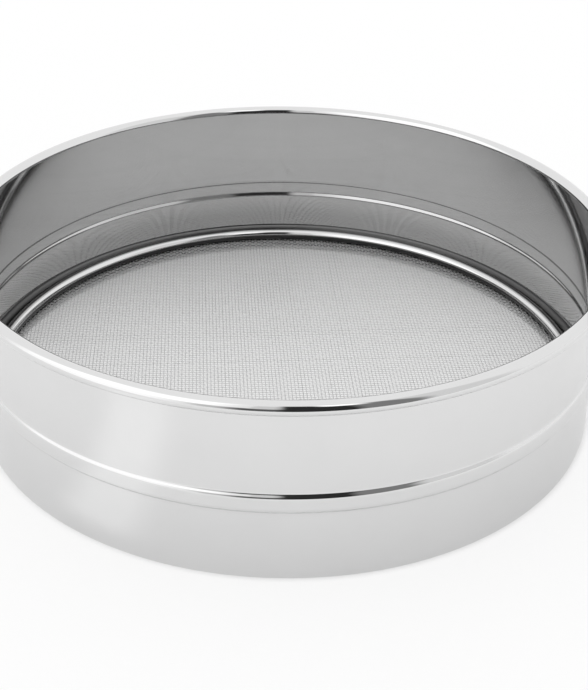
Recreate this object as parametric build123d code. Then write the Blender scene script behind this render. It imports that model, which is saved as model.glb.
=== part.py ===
from build123d import *
import math
import os

# A drum sieve, or tamis, of polished stainless steel: a rolled drum, and a woven cloth that is pinched
# near the bottom between a round rod above it and a flanged hoop below it.
# All lengths are in millimetres. The origin is the centre of the drum's bottom edge, and +Z is up.

# Drum: one strip of sheet, rolled into a cylinder
drum_diameter = 300.0
overall_height = 88.0
sheet_thickness = 0.8
smallest_edge_share = 0.001  # of the sheet's thickness: edges of a section that end nearer than this meet

# Rim: the sheet's top edge, curled outwards round a wire
rim_diameter = 6.3
rim_lip_gap = 0.15
core_wire_clearance = 0.2

# Bead: a flat band pushed outwards to stiffen the drum
bead_bottom_height = 32.5
bead_width = 10.8
bead_depth = 1.0
bead_slope_height = 3.2

# Cloth: woven wire. Its crossing wires make it two wires thick
cloth_top_height = 6.4
cloth_wire_diameter = 0.4
cloth_wire_pitch = 1.8
cloth_edge_gap = 0.05

# Net: the coarse grid that stands for the weave, with the same weight of metal
net_pitch = 16.0
smallest_gap_share = 0.05  # of a whole gap: what the rod leaves of one is cut only if larger

# Rod: lies on the cloth's edge, against the wall
rod_diameter = 6.3
rod_wall_gap = 0.2
rod_cloth_gap = 0.02

# Hoop: an angle section, whose leg stands inside the wall and whose flange carries the cloth
hoop_thickness = 0.8
hoop_flange_width = 5.0
hoop_bend_radius = 1.0
hoop_wall_gap = 0.05
hoop_foot_height = 0.3

# Tack welds: spots that join the rod to the wall
weld_count = 9
weld_diameter = 2.4
weld_depth_share = 0.5  # of the sheet's thickness, into the wall and into the rod alike
first_weld_angle = 98.0

# Radii and heights that more than one piece uses
wall_outer_radius = drum_diameter / 2
wall_inner_radius = wall_outer_radius - sheet_thickness
wall_middle_radius = wall_outer_radius - sheet_thickness / 2
rim_radius = rim_diameter / 2
rim_middle_radius = rim_radius - sheet_thickness / 2
rim_centre_radius = wall_middle_radius + rim_middle_radius
rim_centre_height = overall_height - rim_radius
cloth_thickness = 2 * cloth_wire_diameter
cloth_bottom_height = cloth_top_height - cloth_thickness
rod_radius = rod_diameter / 2
rod_centre_radius = wall_inner_radius - rod_wall_gap - rod_radius
rod_centre_height = cloth_top_height + rod_cloth_gap + rod_radius


def at(radius, height):
    """A point of a section, in the XZ plane that is turned round the Z axis."""
    return Vector(radius, 0, height)


def bend(radius, height, size, start_angle, sweep_angle):
    """An arc of a section about a centre, with angles from +X towards +Z."""
    middle_angle = start_angle + sweep_angle / 2
    points = []
    for angle in (start_angle, middle_angle, start_angle + sweep_angle):
        turn = math.radians(angle)
        points.append(at(radius + size * math.cos(turn), height + size * math.sin(turn)))
    return Edge.make_three_point_arc(*points)


def joined(edges):
    """The edges with straight lines put in wherever one ends away from the next one's start."""
    chain = []
    for edge, following in zip(edges, edges[1:] + edges[:1]):
        chain.append(edge)
        here = edge @ 1
        there = following @ 0
        if (there - here).length > smallest_edge_share * sheet_thickness:
            chain.append(Edge.make_line(here, there))
    return Face(Wire(chain))


def turned(section):
    """The ring that a section makes when it is turned once round the drum's axis."""
    return revolve(section, Axis.Z)


def sheet_face(outward):
    """One face of the drum's sheet from the foot to the end of the curl, set off from its middle."""
    slope_angle = 2 * math.degrees(math.atan(bead_depth / bead_slope_height))
    bend_radius = bead_slope_height / (2 * math.sin(math.radians(slope_angle)))
    hollow = bend_radius - outward
    crown = bend_radius + outward
    hollow_centre = wall_middle_radius + bend_radius
    crown_centre = wall_middle_radius + bead_depth - bend_radius
    bead_top_height = bead_bottom_height + bead_width
    band_bottom_height = bead_bottom_height + bead_slope_height
    band_top_height = bead_top_height - bead_slope_height
    lip_reach = wall_outer_radius + rim_lip_gap - rim_centre_radius
    curl_angle = 180 + math.degrees(math.acos(lip_reach / rim_radius))
    edges = [
        bend(hollow_centre, bead_bottom_height, hollow, 180, -slope_angle),
        bend(crown_centre, band_bottom_height, crown, -slope_angle, slope_angle),
        bend(crown_centre, band_top_height, crown, 0, slope_angle),
        bend(hollow_centre, bead_top_height, hollow, 180 + slope_angle, -slope_angle),
        bend(rim_centre_radius, rim_centre_height, rim_middle_radius - outward, 180, -180),
        bend(rim_centre_radius, rim_centre_height, rim_middle_radius - outward, 0, 180 - curl_angle),
    ]
    foot = Edge.make_line(at(wall_middle_radius + outward, 0), edges[0] @ 0)
    return [foot] + edges


def drum_shell():
    """The wall with its bead and its curled rim, all one strip of sheet."""
    inside = sheet_face(-sheet_thickness / 2)
    outside = sheet_face(sheet_thickness / 2)
    back_down = [edge.reversed() for edge in reversed(outside)]
    return turned(joined(inside + back_down))


def rim_core_wire():
    """The wire that the rim is curled round."""
    core_radius = rim_radius - sheet_thickness - core_wire_clearance
    place = Plane(at(rim_centre_radius, rim_centre_height), x_dir=(1, 0, 0), z_dir=(0, -1, 0))
    return turned(place * Circle(core_radius))


def retaining_rod():
    """The round rod that presses the cloth down all round."""
    place = Plane(at(rod_centre_radius, rod_centre_height), x_dir=(1, 0, 0), z_dir=(0, -1, 0))
    return turned(place * Circle(rod_radius))


def rod_tack_welds():
    """Weld spots between the rod and the wall, evenly spaced, each a short plug melted into both."""
    contact_radius = wall_inner_radius - rod_wall_gap / 2
    length = rod_wall_gap + 2 * weld_depth_share * sheet_thickness
    spots = []
    for index in range(weld_count):
        angle = first_weld_angle + index * 360 / weld_count
        plug = Pos(contact_radius, 0, rod_centre_height) * Rot(0, 90, 0) * Cylinder(weld_diameter / 2, length)
        spots.append((Rot(0, 0, angle) * plug).solid())
    return Compound(spots)


def cloth_support_hoop():
    """The flanged hoop under the cloth, bent from sheet."""
    outer = wall_inner_radius - hoop_wall_gap
    inner = outer - hoop_thickness
    flange_edge = outer - hoop_flange_width
    flange_bottom = cloth_bottom_height - hoop_thickness
    corner_radius = outer - hoop_bend_radius
    corner_height = cloth_bottom_height - hoop_bend_radius
    outline = [
        Edge.make_line(at(inner, hoop_foot_height), at(outer, hoop_foot_height)),
        bend(corner_radius, corner_height, hoop_bend_radius, 0, 90),
        Edge.make_line(at(flange_edge, cloth_bottom_height), at(flange_edge, flange_bottom)),
        bend(corner_radius, corner_height, hoop_bend_radius - hoop_thickness, 90, -90),
    ]
    return turned(joined(outline))


def net_gaps(open_radius, gap):
    """The net's square gaps, cut short by the circle that the rod leaves open."""
    columns = math.ceil(open_radius / net_pitch)
    smallest_area = smallest_gap_share * gap ** 2
    opening = Face(Wire(Edge.make_circle(open_radius)))
    gaps = []
    for column in range(-columns, columns):
        for row in range(-columns, columns):
            centre_x = column * net_pitch + net_pitch / 2
            centre_y = row * net_pitch + net_pitch / 2
            square = Face.make_rect(gap, gap).moved(Pos(centre_x, centre_y))
            farthest = math.hypot(abs(centre_x) + gap / 2, abs(centre_y) + gap / 2)
            if farthest < open_radius:
                gaps.append(square)
                continue
            nearest = math.hypot(abs(centre_x) - gap / 2, abs(centre_y) - gap / 2)
            if nearest > open_radius:
                continue
            part_left = (square & opening).face()
            if part_left.area > smallest_area:
                gaps.append(part_left)
    return gaps


def sieve_mesh():
    """The cloth as one flat net, whose bars hold as much metal as the fine wires they stand for."""
    cloth_radius = wall_inner_radius - cloth_edge_gap
    open_radius = rod_centre_radius - rod_radius
    wire_area = math.pi / 4 * cloth_wire_diameter ** 2
    metal_share = 2 * wire_area / (cloth_wire_pitch * cloth_thickness)
    gap = net_pitch * math.sqrt(1 - metal_share)
    gaps = net_gaps(open_radius, gap)
    rim = Wire(Edge.make_circle(cloth_radius))
    net = Face(rim, [hole.outer_wire() for hole in gaps])
    print("net gaps", len(gaps), "bar width", round(net_pitch - gap, 3))
    return extrude(net.moved(Pos(0, 0, cloth_bottom_height)), cloth_thickness, dir=(0, 0, 1))


pieces = {
    "drum_shell": drum_shell,
    "rim_core_wire": rim_core_wire,
    "retaining_rod": retaining_rod,
    "rod_tack_welds": rod_tack_welds,
    "sieve_mesh": sieve_mesh,
    "cloth_support_hoop": cloth_support_hoop,
}

os.makedirs("parts", exist_ok=True)
for name, make in pieces.items():
    piece = make()
    export_step(piece, f"parts/{name}.step")
    box = piece.bounding_box()
    print(name, len(piece.solids()), "solids", round(piece.volume, 1), "mm3", box.min, box.max)
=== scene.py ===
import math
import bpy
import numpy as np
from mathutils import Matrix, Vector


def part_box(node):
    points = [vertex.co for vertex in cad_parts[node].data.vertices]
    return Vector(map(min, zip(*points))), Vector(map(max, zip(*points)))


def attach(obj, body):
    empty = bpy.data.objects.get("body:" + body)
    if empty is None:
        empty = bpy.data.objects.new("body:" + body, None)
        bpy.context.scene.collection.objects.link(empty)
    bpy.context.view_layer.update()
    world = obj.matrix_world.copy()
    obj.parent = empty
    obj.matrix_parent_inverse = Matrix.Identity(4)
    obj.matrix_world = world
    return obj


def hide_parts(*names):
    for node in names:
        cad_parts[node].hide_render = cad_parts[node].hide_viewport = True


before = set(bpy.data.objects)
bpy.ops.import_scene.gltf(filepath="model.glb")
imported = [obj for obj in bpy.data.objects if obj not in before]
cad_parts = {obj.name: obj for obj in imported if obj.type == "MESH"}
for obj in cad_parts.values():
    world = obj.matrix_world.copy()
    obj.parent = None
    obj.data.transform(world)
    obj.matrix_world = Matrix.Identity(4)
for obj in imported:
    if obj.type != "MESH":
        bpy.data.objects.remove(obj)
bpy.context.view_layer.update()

# %% [markdown]
# A drum sieve, or tamis, is a low drum of polished steel with a woven cloth near its bottom. The cook pushes
# flour or puree through the cloth with a scraper. Steel like this has almost no colour of its own. What the
# eye sees is the room in it, so the shapes must be smooth and exact, and the studio round the sieve matters
# as much as its materials. Sizes that the box round a CAD piece can give are read from it. The others, such
# as the thickness of the sheet, are written down where they are first used.

mm = 0.001
rim_outer_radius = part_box("drum_shell")[1].x
drum_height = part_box("drum_shell")[1].z
core_low, core_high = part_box("rim_core_wire")
rod_low, rod_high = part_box("retaining_rod")
cloth_low, cloth_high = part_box("sieve_mesh")
hoop_low, hoop_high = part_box("cloth_support_hoop")
print("sieve", round(2 * rim_outer_radius / mm, 1), "mm across and", round(drum_height / mm, 1), "mm high")

# %% [markdown]
# The camera comes first, because every later choice is judged through it. A photograph's perspective is set
# by the camera's place alone, and the lens only crops it. So the place was worked out from the sieve's own
# circles: the nearer the camera, the more the front of each circle opens beside its back. The cloth's wires
# lie along X and Y, and the sieve stands a few degrees turned, so the camera goes round by that.

# %% Where the camera stands and what its lens shows
photo_width_px = 588
photo_height_px = 690
focal_length_px = 1288.3
axis_from_left_px = 306
axis_from_top_px = 305
sensor_mm = 36.0
camera_distance = 632.5 * mm
camera_elevation = math.radians(29.37)
aim_height = 45 * mm
sieve_turn = math.radians(4.0)
pan_angle = math.radians(0.873)
tilt_angle = math.radians(-0.165)
roll_angle = math.radians(0.718)
print("camera", round(camera_distance / mm), "mm from its aim")

# %% [markdown]
# Three small turns finish the aim. Each one swings two of the camera's directions in their own plane: pan
# turns it sideways, tilt up or down, and roll round its line of sight.


# %% The camera
def swung(first, second, angle):
    """Two directions at right angles, both turned by an angle in their own plane."""
    cosine = math.cos(angle)
    sine = math.sin(angle)
    return first * cosine - second * sine, first * sine + second * cosine


def photo_lens():
    """A lens that crops the view as the photograph does."""
    lens = bpy.data.cameras.new("photo_camera")
    lens.sensor_width = sensor_mm
    lens.lens = focal_length_px / photo_height_px * sensor_mm
    lens.shift_x = (photo_width_px / 2 - axis_from_left_px) / photo_height_px
    lens.shift_y = (axis_from_top_px - photo_height_px / 2) / photo_height_px
    return lens


def photo_camera():
    """A camera that stands in front of the sieve and looks down into it, as the photograph does."""
    camera = bpy.data.objects.new("photo_camera", photo_lens())
    bpy.context.scene.collection.objects.link(camera)
    side = Vector((1, 0, 0))
    up = Vector((0, math.sin(camera_elevation), math.cos(camera_elevation)))
    ahead = up.cross(side)
    place = Vector((0, 0, aim_height)) - ahead * camera_distance
    side, ahead = swung(side, ahead, pan_angle)
    up, ahead = swung(up, ahead, tilt_angle)
    up, side = swung(up, side, roll_angle)
    round_the_sieve = Matrix.Rotation(-sieve_turn, 3, "Z")
    camera.location = round_the_sieve @ place
    camera.rotation_euler = (round_the_sieve @ Matrix((side, up, -ahead)).transposed()).to_euler()
    return camera


bpy.context.scene.camera = photo_camera()
bpy.context.scene.view_settings.view_transform = "Standard"
print("lens", round(bpy.context.scene.camera.data.lens, 1), "mm")

# %% [markdown]
# Most shaders below are small sums: a mask times a tint, or a height plus a wave. A few helpers keep those
# sums readable. The first adds a node, the second links a socket or sets its plain value, and the third
# returns the socket that holds the answer of a sum.


# %% Helpers that add nodes and link them
def add_node(tree, kind, **settings):
    """A new node with its settings, such as its operation."""
    node = tree.nodes.new(kind)
    for name, value in settings.items():
        setattr(node, name, value)
    return node


def feed(tree, socket, source):
    """Links a socket to a source, or sets it where the source is a plain value."""
    if isinstance(source, bpy.types.NodeSocket):
        tree.links.new(source, socket)
    else:
        socket.default_value = source


def maths(tree, operation, *values):
    """The answer of one Math node."""
    node = add_node(tree, "ShaderNodeMath", operation=operation)
    for socket, value in zip(node.inputs, values):
        feed(tree, socket, value)
    return node.outputs["Value"]


print("helpers for nodes: add_node, feed, maths")

# %% [markdown]
# Light and polish have no hard borders, so nearly every mask below is made of soft steps. A step goes from
# one level to another between two places, and an edge is a step that is given by its middle and its blur.


# %% Helpers for soft steps and blends
def soft_step(tree, value, start, end, before=0.0, after=1.0):
    """Goes smoothly from one level to another while the value goes from start to end."""
    node = add_node(tree, "ShaderNodeMapRange", interpolation_type="SMOOTHSTEP")
    ends = {"Value": value, "From Min": start, "From Max": end, "To Min": before, "To Max": after}
    for name, source in ends.items():
        feed(tree, node.inputs[name], source)
    return node.outputs["Result"]


def soft_edge(tree, value, middle, blur, before, after):
    """A soft step that begins one blur before its middle and ends one blur after it."""
    start = maths(tree, "SUBTRACT", middle, blur)
    end = maths(tree, "ADD", middle, blur)
    return soft_step(tree, value, start, end, before, after)


def blend_of(tree, share, first, second):
    """A number between two numbers."""
    change = maths(tree, "SUBTRACT", second, first)
    return maths(tree, "MULTIPLY_ADD", share, change, first)


print("helpers for masks: soft_step, soft_edge, blend_of")

# %% [markdown]
# A shader group packs one effect into a single node, with its own inputs. Every material that places it can
# give it other values, and a mend in the group reaches them all.

# %% Helpers for groups
number_socket = "NodeSocketFloat"
vector_socket = "NodeSocketVector"
colour_socket = "NodeSocketColor"


def new_group(name, inputs, outputs):
    """An empty shader group with named inputs and outputs: (tree, its input sockets, its output node)."""
    tree = bpy.data.node_groups.new(name, "ShaderNodeTree")
    for label, default in inputs.items():
        socket = tree.interface.new_socket(label, in_out="INPUT", socket_type=number_socket)
        socket.default_value = default
    for label, kind in outputs.items():
        tree.interface.new_socket(label, in_out="OUTPUT", socket_type=kind)
    print("group", name, "gives", ", ".join(outputs))
    return tree, add_node(tree, "NodeGroupInput").outputs, add_node(tree, "NodeGroupOutput")


def use_group(tree, group, values):
    """Places a group in a tree with its own values, and returns the sockets that it puts out."""
    node = add_node(tree, "ShaderNodeGroup", node_tree=group)
    for name, source in values.items():
        feed(tree, node.inputs[name], source)
    return node.outputs


print("helpers for groups: new_group, use_group")

# %% [markdown]
# The studio. A round mirror shows the whole room squeezed into narrow bands. White paper all round would
# leave the steel flat, and a photographer sets dark boards beside the camera to draw its edges. The room
# here is painted into the world, by heading and height: it is plain white for the camera and for the light
# on matt things, and only reflections see the boards. Each board is one group with its own place and tone.


# %% A board in the studio
board_values = ("From", "To", "Bottom", "Top", "Side blur", "Top blur", "Level")


def board_group():
    """Lays one board with soft edges over what is behind it, as a level of brightness."""
    labels = ("Behind", "Heading", "Elevation", *board_values)
    tree, given, out = new_group("studio_board", dict.fromkeys(labels, 0.0), {"Level": number_socket})
    edges = (
        ("Heading", "From", "Side blur", 0.0, 1.0),
        ("Heading", "To", "Side blur", 1.0, 0.0),
        ("Elevation", "Bottom", "Top blur", 0.0, 1.0),
        ("Elevation", "Top", "Top blur", 1.0, 0.0),
    )
    mask = 1.0
    for what, middle, blur, before, after in edges:
        edge = soft_edge(tree, given[what], given[middle], given[blur], before, after)
        mask = maths(tree, "MULTIPLY", mask, edge)
    feed(tree, out.inputs["Level"], blend_of(tree, mask, given["Behind"], given["Level"]))
    return tree


studio_board = board_group()

# %% [markdown]
# Each board lies over those before it in the list. The headings are in degrees: 0 is behind the sieve, 90
# its right, 180 the camera and 270 its left. A level of 1 is plain white. The windows and the lamp are
# brighter than that, and the black board beside the camera draws the dark lines on the rim and the bead.

# %% The boards
boards = {
    "right_dim_paper": (106, 139, -90, 60, 6, 4, 0.8),
    "right_grey_board": (136, 160, -90, 58, 4, 5, 0.24),
    "camera_side_paper": (176, 208, -90, 14, 4, 5, 0.64),
    "camera_side_grey": (176, 197, -90, 14, 5, 5, 0.12),
    "camera_side_dim": (182, 191, 14, 52, 1, 5, 0.75),
    "camera_side_black": (157, 181.5, -90, 58, 2.5, 5, 0.03),
    "left_window": (200, 272, 14, 60, 8, 6, 1.4),
    "left_low_window": (216, 272, -20, 14, 8, 6, 1.3),
    "lamp": (148, 166, 48, 62, 4, 4, 1.6),
}
print("boards:", ", ".join(boards))

# %% [markdown]
# The world turns the direction of each ray into a heading and an elevation, and asks the boards one after
# another how bright the room is there. The headings turn with the sieve, as the camera does.

# %% The room that the steel reflects
room_level = 1.0


def studio_world():
    """White for the camera and for diffuse light, and the room with its boards for reflections."""
    world = bpy.data.worlds.new("studio")
    world.use_nodes = True
    tree = world.node_tree
    tree.nodes.clear()
    way = add_node(tree, "ShaderNodeSeparateXYZ")
    feed(tree, way.inputs[0], add_node(tree, "ShaderNodeTexCoord").outputs["Generated"])
    bearing = maths(tree, "DEGREES", maths(tree, "ARCTAN2", way.outputs["X"], way.outputs["Y"]))
    turned_with_sieve = maths(tree, "SUBTRACT", bearing, math.degrees(sieve_turn))
    heading = maths(tree, "FLOORED_MODULO", turned_with_sieve, 360.0)
    elevation = maths(tree, "DEGREES", maths(tree, "ARCSINE", way.outputs["Z"]))
    level = room_level
    for numbers in boards.values():
        values = dict(zip(board_values, map(float, numbers)))
        values.update({"Behind": level, "Heading": heading, "Elevation": elevation})
        level = use_group(tree, studio_board, values)["Level"]
    path = add_node(tree, "ShaderNodeLightPath")
    background = add_node(tree, "ShaderNodeBackground")
    feed(tree, background.inputs["Color"], (1.0, 1.0, 1.0, 1.0))
    seen = blend_of(tree, path.outputs["Is Glossy Ray"], room_level, level)
    feed(tree, background.inputs["Strength"], seen)
    feed(tree, add_node(tree, "ShaderNodeOutputWorld").inputs["Surface"], background.outputs[0])
    return world


bpy.context.scene.world = studio_world()
print("world", bpy.context.scene.world.name)

# %% [markdown]
# The table is white paper that ends not far in front of the sieve. That edge matters: below it the steel
# sees the dark boards again, which is why the black line on the rim reaches under its middle. Outside the
# drum the paper is lit so evenly that the camera hardly sees a shadow on it, so plain white is laid over a
# share of it for the camera. Inside the drum plain white is laid on too, as painted light on the paper under
# the cloth, with less of it towards the back as painted shade, and the steel sees that as the camera does.
# Under the hoop's flange there is none, so the real shade there stays. A soft pool of light is also painted
# on the paper at the front left; only reflections see it, as a brighter place in the drum's wall.

# %% Where plain white lies on the paper
even_share_outside = 0.75
# The inside shares are painted light on the paper under the cloth, and painted shade where they are less.
inside_painted_light_front = 0.52
inside_painted_light_back = 0.2
back_shade_from = -20 * mm
back_shade_to = 120 * mm
even_blend = 4 * mm
flange_shade = 5.5 * mm
shade_blend = 1.5 * mm


def spot_on_sieve(tree):
    """Where a shaded point lies: its X, Y and Z, its distance from the axis, and its angle round it."""
    place = add_node(tree, "ShaderNodeTexCoord").outputs["Object"]
    parts = add_node(tree, "ShaderNodeSeparateXYZ")
    feed(tree, parts.inputs[0], place)
    x, y, z = parts.outputs
    squares = maths(tree, "ADD", maths(tree, "MULTIPLY", x, x), maths(tree, "MULTIPLY", y, y))
    return {
        "place": place,
        "x": x,
        "y": y,
        "z": z,
        "distance": maths(tree, "SQRT", squares),
        "angle": maths(tree, "ARCTAN2", y, x),
    }


def white_shares(tree, spot):
    """Plain white outside the hoop, and painted light inside it that thins to painted shade at the back.
    Each is 0 in the other's place.
    """
    distance = spot["distance"]
    hoop_reach = hoop_high.x
    outside = soft_step(tree, distance, hoop_reach, hoop_reach + even_blend, 0.0, even_share_outside)
    # Painted shade: less painted light towards the back of the drum.
    share = soft_step(tree, spot["y"], back_shade_from, back_shade_to, inside_painted_light_front, inside_painted_light_back)
    inside_end = hoop_reach - flange_shade
    in_reach = soft_step(tree, distance, inside_end, inside_end + shade_blend, 1.0, 0.0)
    return outside, maths(tree, "MULTIPLY", share, in_reach)


print("plain white outside", even_share_outside, "and inside", inside_painted_light_front, "to", inside_painted_light_back)

# %% The painted pool of light
pool_share = 0.25
pool_level = 1.4
pool_angle = math.radians(-129)
pool_half_width = math.radians(9)
pool_blur = math.radians(6)
pool_start = (150 * mm, 165 * mm)
pool_end = (240 * mm, 340 * mm)


def painted_pool_of_light(tree, spot):
    """1 where the painted pool of light lies on the paper, and 0 elsewhere, with soft edges."""
    off_middle = maths(tree, "ABSOLUTE", maths(tree, "SUBTRACT", spot["angle"], pool_angle))
    sector = soft_edge(tree, off_middle, pool_half_width, pool_blur, 1.0, 0.0)
    starting = soft_step(tree, spot["distance"], *pool_start)
    ending = soft_step(tree, spot["distance"], *pool_end, 1.0, 0.0)
    return maths(tree, "MULTIPLY", sector, maths(tree, "MULTIPLY", starting, ending))


print("pool of light from", round(pool_start[0] / mm), "to", round(pool_end[1] / mm), "mm off the axis")

# %% [markdown]
# The paper's material mixes the two: a matt white that the drum's shadow falls on, and plain white where the
# shares and the painted pool of light say so. Light Path tells the rays of the camera from those of a
# mirror.


# %% The paper
def white_paper():
    """Matt white, with shares of plain white laid over it as the camera or the steel sees it."""
    material = bpy.data.materials.new("white_paper")
    material.use_nodes = True
    tree = material.node_tree
    shader = tree.nodes["Principled BSDF"]
    shader.inputs["Base Color"].default_value = (1.0, 1.0, 1.0, 1.0)
    shader.inputs["Roughness"].default_value = 0.9
    shader.inputs["Specular IOR Level"].default_value = 0.0
    spot = spot_on_sieve(tree)
    outside, inside = white_shares(tree, spot)
    path = add_node(tree, "ShaderNodeLightPath").outputs
    # Painted light: a pool of plain white brighter than 1 that only reflections see.
    pool = maths(tree, "MULTIPLY", painted_pool_of_light(tree, spot), path["Is Glossy Ray"])
    by_camera = maths(tree, "MULTIPLY", maths(tree, "ADD", outside, inside), path["Is Camera Ray"])
    by_mirror = maths(tree, "MULTIPLY", inside, path["Is Glossy Ray"])
    share = maths(tree, "ADD", by_camera, maths(tree, "MULTIPLY_ADD", pool, pool_share, by_mirror))
    plain_white = add_node(tree, "ShaderNodeEmission")
    feed(tree, plain_white.inputs["Strength"], blend_of(tree, pool, 1.0, pool_level))
    mix = add_node(tree, "ShaderNodeMixShader")
    feed(tree, mix.inputs["Fac"], share)
    feed(tree, mix.inputs[1], shader.outputs[0])
    feed(tree, mix.inputs[2], plain_white.outputs[0])
    feed(tree, tree.nodes["Material Output"].inputs["Surface"], mix.outputs[0])
    return material


paper = white_paper()
print("material", paper.name, "with", len(paper.node_tree.nodes), "nodes")

# %% The table top
table_front = 420 * mm
table_reach = 1600 * mm


def table_top():
    """A white sheet that catches the sieve's soft shadow."""
    sides = (-table_reach, table_reach)
    corners = [(x, y, 0) for y in (-table_front, table_reach) for x in sides]
    mesh = bpy.data.meshes.new("table_top")
    mesh.from_pydata(corners, [], [(0, 1, 3, 2)])
    mesh.materials.append(paper)
    table = bpy.data.objects.new("table_top", mesh)
    bpy.context.scene.collection.objects.link(table)
    return table


table_top()
print("paper ends", round(table_front / mm), "mm in front of the axis")

# %% [markdown]
# Steel finish. All the steel here is one effect with different values: a grey that changes a little from
# place to place, a shine that is a little uneven along the fine lines that the polishing wheel leaves round
# the drum, and a shallow waviness that rolled sheet always keeps. The group gives a colour, a roughness and
# a normal, and the Principled shader stays in each material, so that an export can read it.

# %% The steel group
lines_round = 1.2
lines_per_metre = 2500.0
line_detail = 3.0
waves_per_metre = 26.0
wave_detail = 1.0
clouds_per_metre = 45.0
cloud_detail = 4.0
noise_middle = 0.5


def noise(tree, place, scale, detail):
    """Smooth noise between 0 and 1 at a place."""
    node = add_node(tree, "ShaderNodeTexNoise")
    feed(tree, node.inputs["Vector"], place)
    feed(tree, node.inputs["Scale"], scale)
    feed(tree, node.inputs["Detail"], detail)
    return node.outputs["Fac"]


def polishing_lines(tree, spot):
    """Noise that changes slowly round the drum and fast across the wheel's lines."""
    across = add_node(tree, "ShaderNodeCombineXYZ")
    feed(tree, across.inputs["X"], maths(tree, "MULTIPLY", spot["angle"], lines_round))
    feed(tree, across.inputs["Y"], maths(tree, "MULTIPLY", spot["z"], lines_per_metre))
    feed(tree, across.inputs["Z"], maths(tree, "MULTIPLY", spot["distance"], lines_per_metre))
    return noise(tree, across.outputs[0], 1.0, line_detail)


def steel_group():
    """Polished or drawn steel: grey tone, uneven shine and waviness, by the place on the sieve."""
    inputs = {
        "Tone": 0.7,
        "Tone change": 0.03,
        "Roughness": 0.08,
        "Roughness change": 0.03,
        "Wave height": 0.0,
    }
    outputs = {"Color": colour_socket, "Roughness": number_socket, "Normal": vector_socket}
    tree, given, out = new_group("steel_finish", inputs, outputs)
    spot = spot_on_sieve(tree)
    clouds = noise(tree, spot["place"], clouds_per_metre, cloud_detail)
    clouds = maths(tree, "SUBTRACT", clouds, noise_middle)
    tone = maths(tree, "MULTIPLY_ADD", clouds, given["Tone change"], given["Tone"])
    colour = add_node(tree, "ShaderNodeCombineColor")
    for channel in ("Red", "Green", "Blue"):
        feed(tree, colour.inputs[channel], tone)
    lines = maths(tree, "SUBTRACT", polishing_lines(tree, spot), noise_middle)
    unevenness = maths(tree, "ADD", clouds, lines)
    roughness = maths(tree, "MULTIPLY_ADD", unevenness, given["Roughness change"], given["Roughness"])
    waves = noise(tree, spot["place"], waves_per_metre, wave_detail)
    # A wave's height is in metres, so the bump takes it as it is.
    bump = add_node(tree, "ShaderNodeBump")
    feed(tree, bump.inputs["Distance"], 1.0)
    feed(tree, bump.inputs["Height"], maths(tree, "MULTIPLY", waves, given["Wave height"]))
    feed(tree, out.inputs["Color"], colour.outputs["Color"])
    feed(tree, out.inputs["Roughness"], roughness)
    feed(tree, out.inputs["Normal"], bump.outputs["Normal"])
    return tree


steel_finish = steel_group()

# %% [markdown]
# The plain pieces need no more than a tone and a roughness of their own. The hoop under the cloth is near
# black, as painted shade for its place under the cloth and the rod; the wire in the rim is as the drawing
# die left it, and a weld has a dull grey skin.


# %% A steel material
def steel(name, tone, roughness, wave_height=0.0):
    """A steel with its own values of the group. Its tone and roughness may be functions of its tree."""
    material = bpy.data.materials.new(name)
    material.use_nodes = True
    tree = material.node_tree
    values = {"Tone": tone, "Roughness": roughness, "Wave height": wave_height}
    for label in ("Tone", "Roughness"):
        if callable(values[label]):
            values[label] = values[label](tree)
    finish = use_group(tree, steel_finish, values)
    shader = tree.nodes["Principled BSDF"]
    shader.inputs["Metallic"].default_value = 1.0
    feed(tree, shader.inputs["Base Color"], finish["Color"])
    feed(tree, shader.inputs["Roughness"], finish["Roughness"])
    feed(tree, shader.inputs["Normal"], finish["Normal"])
    print("steel", name)
    return material


# The hoop's near-black tone is painted shade under the cloth and the rod.
hoop_sheet = steel("hoop_sheet", tone=0.12, roughness=0.4)
plain_wire = steel("plain_wire", tone=0.55, roughness=0.3)
weld_metal = steel("weld_metal", tone=0.42, roughness=0.35)

# %% [markdown]
# The drum is polished outside and inside. The inside is given a darker tone all over, and darker still below
# the bead, as painted shade for the inside of the drum and the corner between wall and cloth.

# %% The wall's two sides
wall_wave_height = 0.03 * mm
inside_shade_full_below = 20 * mm
inside_shade_gone_above = 34 * mm
# Both inside tones are darker than the outside's as painted shade, the lower one most.
inside_painted_shade_tone = 0.46
inside_upper_tone = 0.58


def inside_tone(tree):
    """Painted shade: darker below the bead, towards the corner between wall and cloth."""
    return soft_step(tree, spot_on_sieve(tree)["z"], inside_shade_full_below, inside_shade_gone_above, inside_painted_shade_tone, inside_upper_tone)


polished_outside = steel("polished_outside", tone=0.755, roughness=0.05, wave_height=wall_wave_height)
polished_inside = steel("polished_inside", tone=inside_tone, roughness=0.06, wave_height=wall_wave_height)

# %% [markdown]
# The rod shows one bright strip on its upper inner side, and is nearly black below it. So the rod's tone
# follows the angle round its own section: the steel's own tone in that strip, and painted shade on the rest,
# nearly black below and inwards and grey towards the wall.

# %% The rod's bright strip
rod_radius = (rod_high.z - rod_low.z) / 2
rod_centre_radius = rod_high.x - rod_radius
rod_centre_height = (rod_high.z + rod_low.z) / 2


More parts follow.
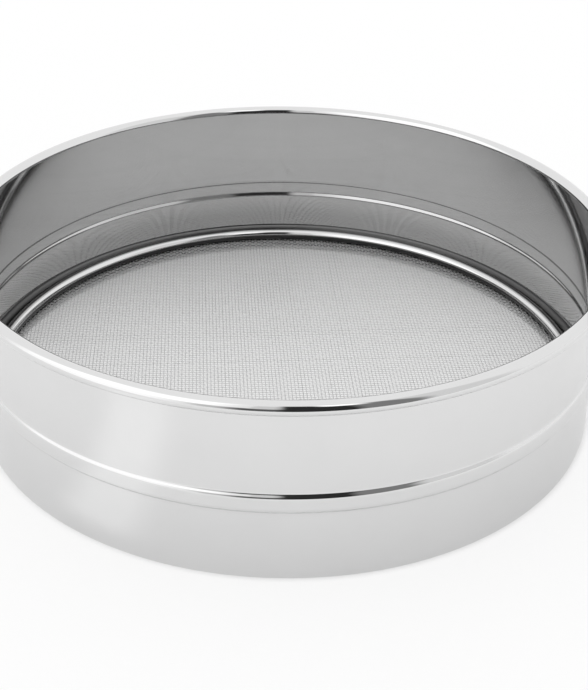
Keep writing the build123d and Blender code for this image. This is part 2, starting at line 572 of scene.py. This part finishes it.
def strip_group():
    """1 on the side of a ring's section that lies between two angles, from inwards towards up."""
    inputs = {"Ring radius": 0.1, "Ring height": 0.0, "From angle": 0.0, "To angle": 90.0, "Blur": 5.0}
    tree, given, out = new_group("bright_strip", inputs, {"Strip": number_socket})
    spot = spot_on_sieve(tree)
    inwards = maths(tree, "SUBTRACT", given["Ring radius"], spot["distance"])
    upwards = maths(tree, "SUBTRACT", spot["z"], given["Ring height"])
    angle = maths(tree, "DEGREES", maths(tree, "ARCTAN2", upwards, inwards))
    after_start = soft_edge(tree, angle, given["From angle"], given["Blur"], 0.0, 1.0)
    before_end = soft_edge(tree, angle, given["To angle"], given["Blur"], 1.0, 0.0)
    feed(tree, out.inputs["Strip"], maths(tree, "MULTIPLY", after_start, before_end))
    return tree


bright_strip = strip_group()
strip_values = {
    "Ring radius": rod_centre_radius,
    "Ring height": rod_centre_height,
    "From angle": 14.0,
    "To angle": 78.0,
    "Blur": 11.0,
}

# %% The rod's steel
strip_tone = 0.74
strip_roughness = 0.06
# Painted shade: away from the strip the rod is nearly black, and grey towards the wall.
rod_painted_shade_tone = 0.05
rod_painted_shade_at_wall = 0.42
rod_shaded_side_roughness = 0.35


def rod_painted_shade(tree):
    """Painted shade: nearly black below and inwards, and grey towards the wall."""
    distance = spot_on_sieve(tree)["distance"]
    grey_from = rod_centre_radius + rod_radius / 2
    return soft_step(tree, distance, rod_centre_radius, grey_from, rod_painted_shade_tone, rod_painted_shade_at_wall)


def rod_tone(tree):
    """The steel's own tone in the bright strip, and painted shade elsewhere."""
    return blend_of(tree, use_group(tree, bright_strip, strip_values)["Strip"], rod_painted_shade(tree), strip_tone)


def rod_roughness(tree):
    """Smooth in the bright strip, and rougher elsewhere."""
    strip = use_group(tree, bright_strip, strip_values)["Strip"]
    return blend_of(tree, strip, rod_shaded_side_roughness, strip_roughness)


polished_rod = steel("polished_rod", tone=rod_tone, roughness=rod_roughness)

# %% [markdown]
# The drum, rod and hoop are bodies of revolution, made like a potter's or a metal spinner's work: a profile
# is turned once round the axis. A spun mesh with enough steps gives the smooth normals that a mirror needs.
# The CAD surface is right in shape, but its facets are made for measuring, and they would show in the
# reflections as broken lines. Beside each bend a straight run gets one more ring of points close to its end,
# so that the bend's shading can't spread over the flat wall.

# %% The points of a profile
support_gap = 0.05 * mm


def arc(radius, height, size, start, sweep, steps):
    """Points on an arc of a profile, as (distance from the axis, height). Angles are in degrees."""
    angles = np.radians(np.linspace(start, start + sweep, steps + 1))
    return [(radius + size * math.cos(a), height + size * math.sin(a)) for a in angles]


def line(start, end, steps):
    """Points on a straight run of a profile, without its ends, and with one close to each end."""
    support = support_gap / math.dist(start, end)
    shares = [support, *np.linspace(0, 1, steps + 1)[1:-1], 1 - support]
    return [(start[0] + (end[0] - start[0]) * s, start[1] + (end[1] - start[1]) * s) for s in shares]


print("helpers for profiles: arc, line")

# %% Turning a profile round the axis
turn_steps = 540
sharp_angle = math.radians(35)


def ring_points(profile):
    """The profile's points at every step of the turn."""
    points = np.array(profile)
    angles = np.linspace(0, 2 * math.pi, turn_steps, endpoint=False)
    x = np.outer(np.cos(angles), points[:, 0])
    y = np.outer(np.sin(angles), points[:, 0])
    z = np.tile(points[:, 1], (turn_steps, 1))
    return np.stack([x, y, z], axis=-1).reshape(-1, 3)


def ring_faces(ring):
    """The faces between each step of the turn and the next, and where along the profile each one starts."""
    step, along = np.meshgrid(np.arange(turn_steps), np.arange(ring), indexing="ij")
    next_step = (step + 1) % turn_steps
    next_along = (along + 1) % ring
    corners = [
        step * ring + along,
        step * ring + next_along,
        next_step * ring + next_along,
        next_step * ring + along,
    ]
    return np.stack(corners, axis=-1).reshape(-1, 4), along.reshape(-1)


def turned(name, profile, materials, first_inside=None):
    """A closed profile turned once round the Z axis, with crisp cut edges and smooth bends."""
    faces, along = ring_faces(len(profile))
    mesh = bpy.data.meshes.new(name)
    mesh.from_pydata(ring_points(profile).tolist(), [], faces.tolist())
    for material in materials:
        mesh.materials.append(material)
    if first_inside is not None:
        mesh.polygons.foreach_set("material_index", (along >= first_inside).astype(np.int32))
    mesh.shade_smooth()
    mesh.set_sharp_from_angle(angle=sharp_angle)
    piece = bpy.data.objects.new(name, mesh)
    bpy.context.scene.collection.objects.link(piece)
    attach(piece, "root")
    print(name, len(mesh.polygons), "faces")
    return piece


print("a profile is turned in", turn_steps, "steps")

# %% [markdown]
# The drum is one strip of sheet 0.8 mm thick. From the foot it goes straight up, swells out into a flat
# bead that stiffens it, goes up again, and curls outwards round a wire. Both faces of the sheet follow the
# same middle line, half a thickness to each side, so one function walks the line twice. Each slope of the
# bead is two bends that run into each other, as a roller presses them.

# %% The sizes of the drum's sheet
sheet_thickness = 0.8 * mm
wall_outer_radius = 150 * mm
wall_middle_radius = wall_outer_radius - sheet_thickness / 2
rim_centre_height = (core_low.z + core_high.z) / 2
rim_radius = drum_height - rim_centre_height
rim_centre_radius = rim_outer_radius - rim_radius
rim_middle_radius = rim_radius - sheet_thickness / 2
rim_lip_gap = 0.15 * mm
bead_bottom = 32.5 * mm
bead_top = bead_bottom + 10.8 * mm
bead_depth = 1.0 * mm
bead_slope = 3.2 * mm
print("rim", round(2 * rim_radius / mm, 1), "mm thick")

# %% The drum's profile
slope_steps = 12
curl_steps = 36
foot_run_steps = 8
bead_run_steps = 3
top_run_steps = 10
repeat_distance = 0.001 * mm


def sheet_face(outward):
    """One face of the sheet from the foot to the curl's end, set off from its middle line."""
    slope = 2 * math.degrees(math.atan(bead_depth / bead_slope))
    bend = bead_slope / (2 * math.sin(math.radians(slope)))
    hollow_centre = wall_middle_radius + bend
    crown_centre = wall_middle_radius + bead_depth - bend
    lip_reach = wall_outer_radius + rim_lip_gap - rim_centre_radius
    curl = 180 + math.degrees(math.acos(lip_reach / rim_radius))
    foot = [(wall_middle_radius + outward, 0.0)]
    lower = arc(hollow_centre, bead_bottom, bend - outward, 180, -slope, slope_steps)
    lower += arc(crown_centre, bead_bottom + bead_slope, bend + outward, -slope, slope, slope_steps)
    upper = arc(crown_centre, bead_top - bead_slope, bend + outward, 0, slope, slope_steps)
    upper += arc(hollow_centre, bead_top, bend - outward, 180 + slope, -slope, slope_steps)
    over = arc(rim_centre_radius, rim_centre_height, rim_middle_radius - outward, 180, -curl, curl_steps)
    points = foot + line(foot[0], lower[0], foot_run_steps) + lower
    points += line(lower[-1], upper[0], bead_run_steps) + upper
    return points + line(upper[-1], over[0], top_run_steps) + over


def without_repeats(points):
    """The same profile with points that lie on each other left out."""
    kept = [points[0]]
    for point in points[1:]:
        if math.dist(point, kept[-1]) > repeat_distance:
            kept.append(point)
    return kept


inside = without_repeats(sheet_face(-sheet_thickness / 2))
outside = without_repeats(sheet_face(sheet_thickness / 2))
print("points on the inside", len(inside), "and on the outside", len(outside))

# %% [markdown]
# The section closes on itself: up the inside, round the curl, down the outside and across the foot. The
# outside's material reaches over the whole rim, so the inside's darker material, with its painted shade,
# ends where the curl starts.

# %% The drum
below_curl = sum(height < rim_centre_height for _, height in inside[:-curl_steps])
outside_and_rim_points = inside[below_curl:] + outside[::-1]
# The inside below the curl carries the painted shade.
shaded_inside_points = inside[:below_curl]
drum = turned(
    "polished_drum",
    outside_and_rim_points + shaded_inside_points,
    (polished_outside, polished_inside),
    len(outside_and_rim_points),
)
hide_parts("drum_shell")

# %% [markdown]
# The rod that holds the cloth down is plain round bar, bent to a ring. The hoop below the cloth is an angle
# section with one small bend, and its flange is what the cloth lies on.

# %% The rod
rod_sides = 48
rod_section = arc(rod_centre_radius, rod_centre_height, rod_radius, 0, -360, rod_sides)[:-1]
rod_ring = turned("rod_ring", rod_section, (polished_rod,))
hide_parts("retaining_rod")

# %% The hoop
hoop_thickness = 0.8 * mm
hoop_flange_width = 5.0 * mm
hoop_bend = 1.0 * mm
inner_bend_steps = 3
outer_bend_steps = 8
hoop_outer = hoop_high.x
hoop_flange_edge = hoop_outer - hoop_flange_width
hoop_corner = (hoop_outer - hoop_bend, hoop_high.z - hoop_bend)
hoop_section = [(hoop_outer, hoop_low.z), (hoop_outer - hoop_thickness, hoop_low.z)]
hoop_section += arc(*hoop_corner, hoop_bend - hoop_thickness, 0, 90, inner_bend_steps)
hoop_section += [(hoop_flange_edge, hoop_high.z - hoop_thickness), (hoop_flange_edge, hoop_high.z)]
hoop_section += arc(*hoop_corner, hoop_bend, 90, -90, outer_bend_steps)
hoop = turned("hoop_angle", hoop_section, (hoop_sheet,))
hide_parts("cloth_support_hoop")

# %% [markdown]
# The cloth is plain weave: each wire goes over one crossing wire and under the next. Making every wire
# costs many faces, but a flat sheet with a pattern can't shade as a weave does, lighter and darker with the
# angle it is seen at. A wire is hardly one pixel wide here, so four sides round it are enough. No two wires
# of a real cloth are quite alike: the loom and the drawing die leave some a little darker along their whole
# length, so a group gives each wire a tone of its own by its number in the weave.

# %% The tone of each wire
wire_radius = 0.2 * mm
wire_pitch = 1.8 * mm
wire_roughness = 0.35


def wire_group():
    """A small change of tone for each wire, by its number, with a rare darker one."""
    inputs = {"Across": 0.0, "Pitch": 0.001, "Change": 0.05, "Dark wires": 0.03, "Darker by": 0.06}
    tree, given, out = new_group("wire_tone", inputs, {"Change": number_socket})
    index = maths(tree, "ROUND", maths(tree, "DIVIDE", given["Across"], given["Pitch"]))
    dice = add_node(tree, "ShaderNodeTexWhiteNoise", noise_dimensions="1D")
    feed(tree, dice.inputs["W"], index)
    roll = dice.outputs["Value"]
    dark = maths(tree, "LESS_THAN", roll, given["Dark wires"])
    even = maths(tree, "MULTIPLY", maths(tree, "SUBTRACT", roll, noise_middle), given["Change"])
    darker = maths(tree, "MULTIPLY", dark, given["Darker by"])
    feed(tree, out.inputs["Change"], maths(tree, "SUBTRACT", even, darker))
    return tree


wire_tone = wire_group()


def woven_wire(name, axis_across, middle_tone):
    """The steel of one set of wires, which lie side by side along X or Y."""

    def tone(tree):
        values = {"Across": spot_on_sieve(tree)[axis_across], "Pitch": wire_pitch}
        return maths(tree, "ADD", use_group(tree, wire_tone, values)["Change"], middle_tone)

    return steel(name, tone=tone, roughness=wire_roughness)


warp_wire = woven_wire("warp_wire", "x", middle_tone=0.77)
weft_wire = woven_wire("weft_wire", "y", middle_tone=0.76)

# %% [markdown]
# The wires are made by a loop, as a loom does it: a run of rings along each wire, whose height swings up
# and down once in two crossings. The warp and the weft differ only in which way they run and where they
# start. Each set is made as two halves, so that no one mesh gets too heavy to export.

# %% One woven wire
wire_sides = 4
steps_per_crossing = 2
cloth_middle = (cloth_low.z + cloth_high.z) / 2
cloth_reach = cloth_high.x - wire_radius


def wire_rings(index, along_y):
    """The rings of points of one wire, by its number from the middle of the cloth."""
    offset = index * wire_pitch
    step = wire_pitch / steps_per_crossing
    reach = int(math.sqrt(max(cloth_reach ** 2 - offset ** 2, 0)) / step)
    run = np.arange(-reach, reach + 1) * step
    sign = 1 if (index % 2 == 0) == along_y else -1
    rise = cloth_middle + sign * wire_radius * np.cos(math.pi * run / wire_pitch)
    sides = np.arange(wire_sides) * 2 * math.pi / wire_sides
    across = np.broadcast_to(offset + wire_radius * np.cos(sides), (len(run), wire_sides))
    along = np.broadcast_to(run[:, None], (len(run), wire_sides))
    height = rise[:, None] + wire_radius * np.sin(sides)
    return np.stack([across, along, height] if along_y else [along, across, height], axis=-1)


def wire_faces(first, rings, along_y):
    """The faces round one wire and on its two ends, from the number of its first point."""
    faces = []
    for ring in range(rings - 1):
        for side in range(wire_sides):
            a = first + ring * wire_sides + side
            b = first + ring * wire_sides + (side + 1) % wire_sides
            faces.append((a, b, b + wire_sides, a + wire_sides))
    last = first + (rings - 1) * wire_sides
    faces.append(tuple(range(first, first + wire_sides))[::-1])
    faces.append(tuple(range(last, last + wire_sides)))
    return [face[::-1] for face in faces] if along_y else faces


middle_rings = wire_rings(0, True)
print("the middle warp wire has", len(middle_rings), "rings of", wire_sides, "points")

# %% The cloth
fewest_rings = 3


def woven_set(name, along_y, numbers, material):
    """Some wires of the warp or the weft, which weave over and under the crossing ones."""
    points = []
    faces = []
    for index in numbers:
        rings = wire_rings(index, along_y)
        if len(rings) >= fewest_rings:
            faces += wire_faces(len(points), len(rings), along_y)
            points += rings.reshape(-1, 3).tolist()
    mesh = bpy.data.meshes.new(name)
    mesh.from_pydata(points, [], faces)
    mesh.shade_smooth()
    mesh.materials.append(material)
    piece = bpy.data.objects.new(name, mesh)
    bpy.context.scene.collection.objects.link(piece)
    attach(piece, "root")
    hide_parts("sieve_mesh")
    print(name, len(faces), "faces")


outermost = int(cloth_reach / wire_pitch)
halves = {"left": range(-outermost, 0), "right": range(outermost + 1)}
for half, numbers in halves.items():
    woven_set(f"warp_wires_{half}", True, numbers, warp_wire)
halves = {"front": range(-outermost, 0), "back": range(outermost + 1)}
for half, numbers in halves.items():
    woven_set(f"weft_wires_{half}", False, numbers, weft_wire)

# %% [markdown]
# Two pieces stay as the CAD made them, because their shape is right and little of them shows: the wire
# inside the rim, and the weld spots behind the rod. They only get their steel.

# %% Finishes on the pieces that stay as the CAD made them
for node_name, material in (("rim_core_wire", plain_wire), ("rod_tack_welds", weld_metal)):
    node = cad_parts[node_name]
    node.data.materials.clear()
    node.data.materials.append(material)
    print(node_name, "gets", material.name)
